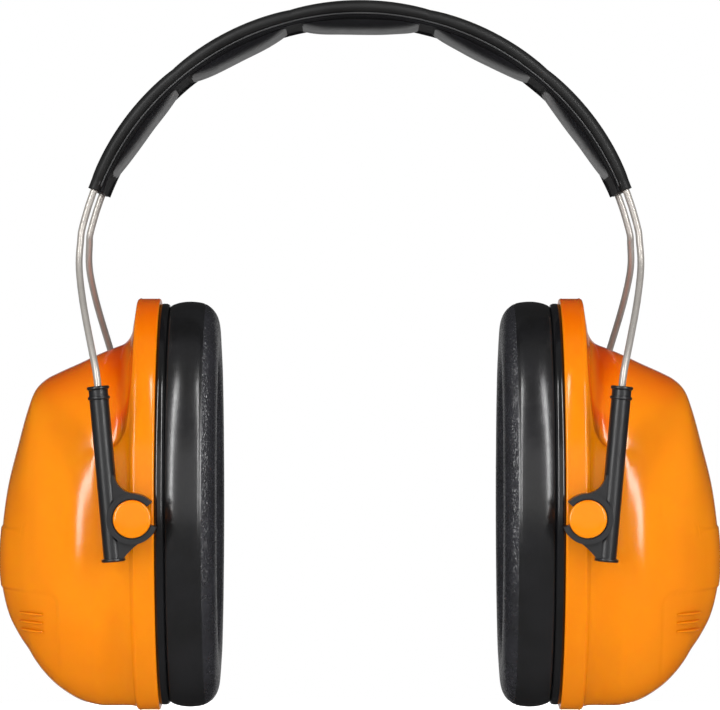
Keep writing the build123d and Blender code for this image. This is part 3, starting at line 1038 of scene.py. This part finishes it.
def make_floor():
    """A plain pale disc, which glows more outwards, so that its edge is lost in the white studio."""
    floor = bpy.data.objects.new("floor", bpy.data.meshes.new("floor"))
    disc = Shape()
    rings = [(0, radius) for radius in (100, 200, 300, FLOOR_REACH / MM)]
    disc.lathe(rings, (0, 0, 0), (0, 0, 1), (1, 0, 0), caps=(0,))
    floor.data.from_pydata((np.array(disc.points) * MM).tolist(), [], disc.faces)
    floor.location = (0, 0, CAD_BOX[0][2] - FLOOR_DROP)
    bpy.context.scene.collection.objects.link(floor)
    pale = (0.9, 0.9, 0.9)
    material, tree, principled = shader("floor_paint", pale, roughness=0.9, Specular_IOR_Level=0.1)
    principled.inputs["Emission Color"].default_value = WHITE
    from_middle = node(tree, "ShaderNodeVectorMath", {0: place(tree)}, operation="LENGTH").outputs["Value"]
    tree.links.new(spread(tree, from_middle, 0.15, 0.42, 0.25, 1.0), principled.inputs["Emission Strength"])
    floor.data.materials.append(material)
    floor.visible_glossy = False


def vector_math(tree, operation, *inputs):
    return node(tree, "ShaderNodeVectorMath", dict(enumerate(inputs)), operation=operation)


def background(tree, strength):
    return node(tree, "ShaderNodeBackground", {"Color": WHITE, "Strength": strength}).outputs[0]


def either(tree, switch, off, on):
    """One of two backgrounds, by a yes or no value."""
    return node(tree, "ShaderNodeMixShader", {0: switch, 1: off, 2: on}).outputs[0]


def make_world():
    """White behind the part, soft light from the front, below and the sides, and dark flags for gloss."""
    world = bpy.data.worlds.new("studio")
    bpy.context.scene.world = world
    world.use_nodes = True
    tree = world.node_tree
    tree.nodes.clear()
    direction = node(tree, "ShaderNodeTexCoord").outputs["Generated"]
    front_and_below = vector_math(tree, "DOT_PRODUCT", direction, (0, -0.55, -0.83)).outputs["Value"]
    front = vector_math(tree, "DOT_PRODUCT", direction, (0, -1, 0)).outputs["Value"]
    side_part = vector_math(tree, "MULTIPLY", direction, (1, 0, 0)).outputs[0]
    sideways = vector_math(tree, "LENGTH", side_part).outputs["Value"]
    from_sides = spread(tree, sideways, 0.35, 1.0, 0, 0.7)
    from_front = spread(tree, front_and_below, -0.8, 0.3, 0.2, 0.56)
    fill = node(tree, "ShaderNodeMath", {0: from_sides, 1: from_front}, operation="ADD").outputs[0]
    flags = spread(tree, front, -0.7, 0.1, 0.03, 0.16)
    path = node(tree, "ShaderNodeLightPath")
    lighting = either(tree, path.outputs["Is Glossy Ray"], background(tree, fill), background(tree, flags))
    surface = either(tree, path.outputs["Is Camera Ray"], lighting, background(tree, 1.0))
    node(tree, "ShaderNodeOutputWorld", {"Surface": surface})


def make_lights():
    middle = Vector((0, 0, CAMERA_Z))
    for name, position, width, height, watts in LIGHTS:
        light = bpy.data.lights.new(name, "AREA")
        light.shape = "RECTANGLE"
        light.size, light.size_y = width, height
        light.energy = watts
        lamp = bpy.data.objects.new(name, light)
        lamp.location = position
        lamp.rotation_euler = (middle - Vector(position)).to_track_quat("-Z", "Y").to_euler()
        lamp.visible_camera = False
        bpy.context.scene.collection.objects.link(lamp)


make_camera()
make_floor()
make_world()
make_lights()
bpy.context.scene.view_settings.view_transform = "Standard"
make_cup_shells()
make_cushions()
make_headband()
for wire in ("front_wire", "rear_wire"):
    dress(wire, STEEL)
for side in SIDES:
    for end in ENDS:
        dress(f"{side}_{end}_arm", BLACK_PLASTIC)
        dress(f"{side}_{end}_arm_bush", BLACK_PLASTIC)
        dress(f"{side}_{end}_wire_stop", STOP_STEEL)
